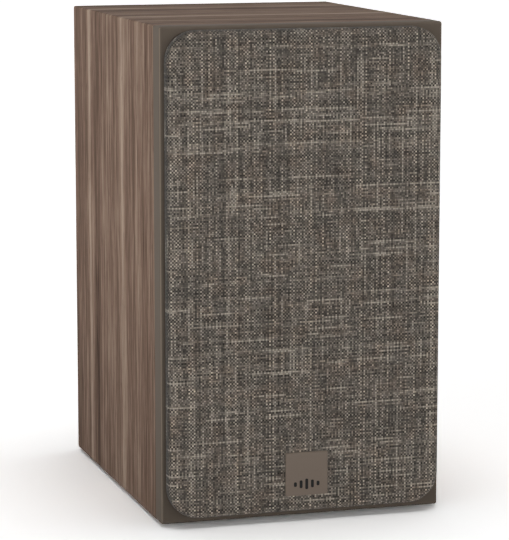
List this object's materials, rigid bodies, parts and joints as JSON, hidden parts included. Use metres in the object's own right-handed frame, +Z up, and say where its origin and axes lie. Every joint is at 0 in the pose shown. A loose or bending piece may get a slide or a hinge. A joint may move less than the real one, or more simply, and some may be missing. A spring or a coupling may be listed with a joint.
{
  "type": "bookshelf speaker",
  "caption": "Two-way bookshelf loudspeaker in a walnut-finish cabinet with a pull-off cloth grille, rear reflex port, screw terminals and a wall hanger.",
  "frame": {"origin": "on the surface that the feet stand on, under the middle of the whole object's width and depth", "axes": "+Z up, the grille faces -Y, +X is to the right as the grille is faced"},
  "size_m": [0.162, 0.2332, 0.2755],
  "materials": {
    "walnut_foil": "walnut-pattern foil on board, satin",
    "taupe_paint": "satin taupe paint on board",
    "badge_metal": "satin taupe lacquer",
    "grille_fabric": "slubby linen-look weave",
    "frame_plastic": "black, fine grain",
    "black_plastic": "black, satin",
    "black_gloss_plastic": "black, moulded",
    "red_gloss_plastic": "red, moulded",
    "rubber": "black, matt",
    "cone_fibre": "woven fibre, matt",
    "dome_silk": "coated silk, satin",
    "plated_steel": "zinc plated",
    "black_steel": "black paint",
    "ferrite": "matt dark grey",
    "copper": "enamelled copper wire",
    "gold_plate": "gold plated",
    "spider_cloth": "resin-stiffened cloth",
    "foam": "closed-cell foam",
    "wadding": "loose fibre",
    "board": "green lacquered board",
    "cement": "matt white cement",
    "capacitor_film": "shrink-wrapped film"
  },
  "bodies": {
    "cabinet": {"back_panel": "walnut_foil", "binding_post_black": "gold_plate", "binding_post_red": "gold_plate", "cabinet_sleeve": "walnut_foil", "crossover_board": "board", "crossover_capacitor": "capacitor_film", "crossover_inductor_large": "copper", "crossover_inductor_small": "copper", "crossover_resistor": "cement", "damping_pad_left": "wadding", "damping_pad_right": "wadding", "front_baffle": "taupe_paint", "grille_socket_lower_left": "rubber", "grille_socket_lower_right": "rubber", "grille_socket_upper_left": "rubber", "grille_socket_upper_right": "rubber", "port_tube": "black_plastic", "rubber_foot_front_left": "rubber", "rubber_foot_front_right": "rubber", "rubber_foot_rear_left": "rubber", "rubber_foot_rear_right": "rubber", "terminal_plate": "black_plastic", "tweeter_faceplate": "black_plastic", "tweeter_lead": "rubber", "tweeter_magnet": "ferrite", "tweeter_screw_1": "black_steel", "tweeter_screw_2": "black_steel", "tweeter_screw_3": "black_steel", "tweeter_screw_4": "black_steel", "tweeter_surround": "dome_silk", "tweeter_top_plate": "plated_steel", "tweeter_yoke": "plated_steel", "wall_hanger_plate": "plated_steel", "woofer_basket": "black_steel", "woofer_gasket": "foam", "woofer_lead": "rubber", "woofer_magnet": "ferrite", "woofer_screw_1": "black_steel", "woofer_screw_2": "black_steel", "woofer_screw_3": "black_steel", "woofer_screw_4": "black_steel", "woofer_spider": "spider_cloth", "woofer_surround": "rubber", "woofer_tag_strip": "black_plastic", "woofer_top_plate": "plated_steel", "woofer_yoke": "plated_steel"},
    "grille": {"grille_frame": "frame_plastic", "grille_cloth": "grille_fabric", "badge_plate": "badge_metal"},
    "woofer_diaphragm": {"woofer_cone": "cone_fibre", "woofer_dust_cap": "cone_fibre", "woofer_voice_coil": "copper"},
    "tweeter_diaphragm": {"tweeter_dome": "dome_silk", "tweeter_voice_coil": "copper"},
    "washer_red": {"clamp_washer_red": "gold_plate"},
    "knob_red": {"binding_knob_red": "red_gloss_plastic"},
    "washer_black": {"clamp_washer_black": "gold_plate"},
    "knob_black": {"binding_knob_black": "black_gloss_plastic"}
  },
  "joints": [
    {"name": "grille_pull", "type": "slide", "parent": "cabinet", "child": "grille", "axis": [0, -1, 0], "range_m": [0, 0.06]},
    {"name": "woofer_travel", "type": "slide", "parent": "cabinet", "child": "woofer_diaphragm", "axis": [0, -1, 0], "range_m": [-0.004, 0.004], "stiffness_N_per_m": 960, "deforming": ["woofer_surround", "woofer_spider"]},
    {"name": "tweeter_travel", "type": "slide", "parent": "cabinet", "child": "tweeter_diaphragm", "axis": [0, -1, 0], "range_m": [-0.0003, 0.0003], "stiffness_N_per_m": 6000, "deforming": ["tweeter_surround"]},
    {"name": "washer_red_lift", "type": "slide", "parent": "cabinet", "child": "washer_red", "axis": [0, 1, 0], "range_m": [0, 0.004]},
    {"name": "knob_red_turn", "type": "hinge", "parent": "washer_red", "child": "knob_red", "pos_m": [0.0095, 0.1016, 0.0635], "axis": [0, 1, 0], "range_deg": [0, 1800]},
    {"name": "washer_black_lift", "type": "slide", "parent": "cabinet", "child": "washer_black", "axis": [0, 1, 0], "range_m": [0, 0.004]},
    {"name": "knob_black_turn", "type": "hinge", "parent": "washer_black", "child": "knob_black", "pos_m": [-0.0095, 0.1016, 0.0635], "axis": [0, 1, 0], "range_deg": [0, 1800]}
  ],
  "couplings": [
    {"joint": "knob_red_turn", "follows": "washer_red_lift", "rad_per_m": 7854},
    {"joint": "knob_black_turn", "follows": "washer_black_lift", "rad_per_m": 7854}
  ]
}
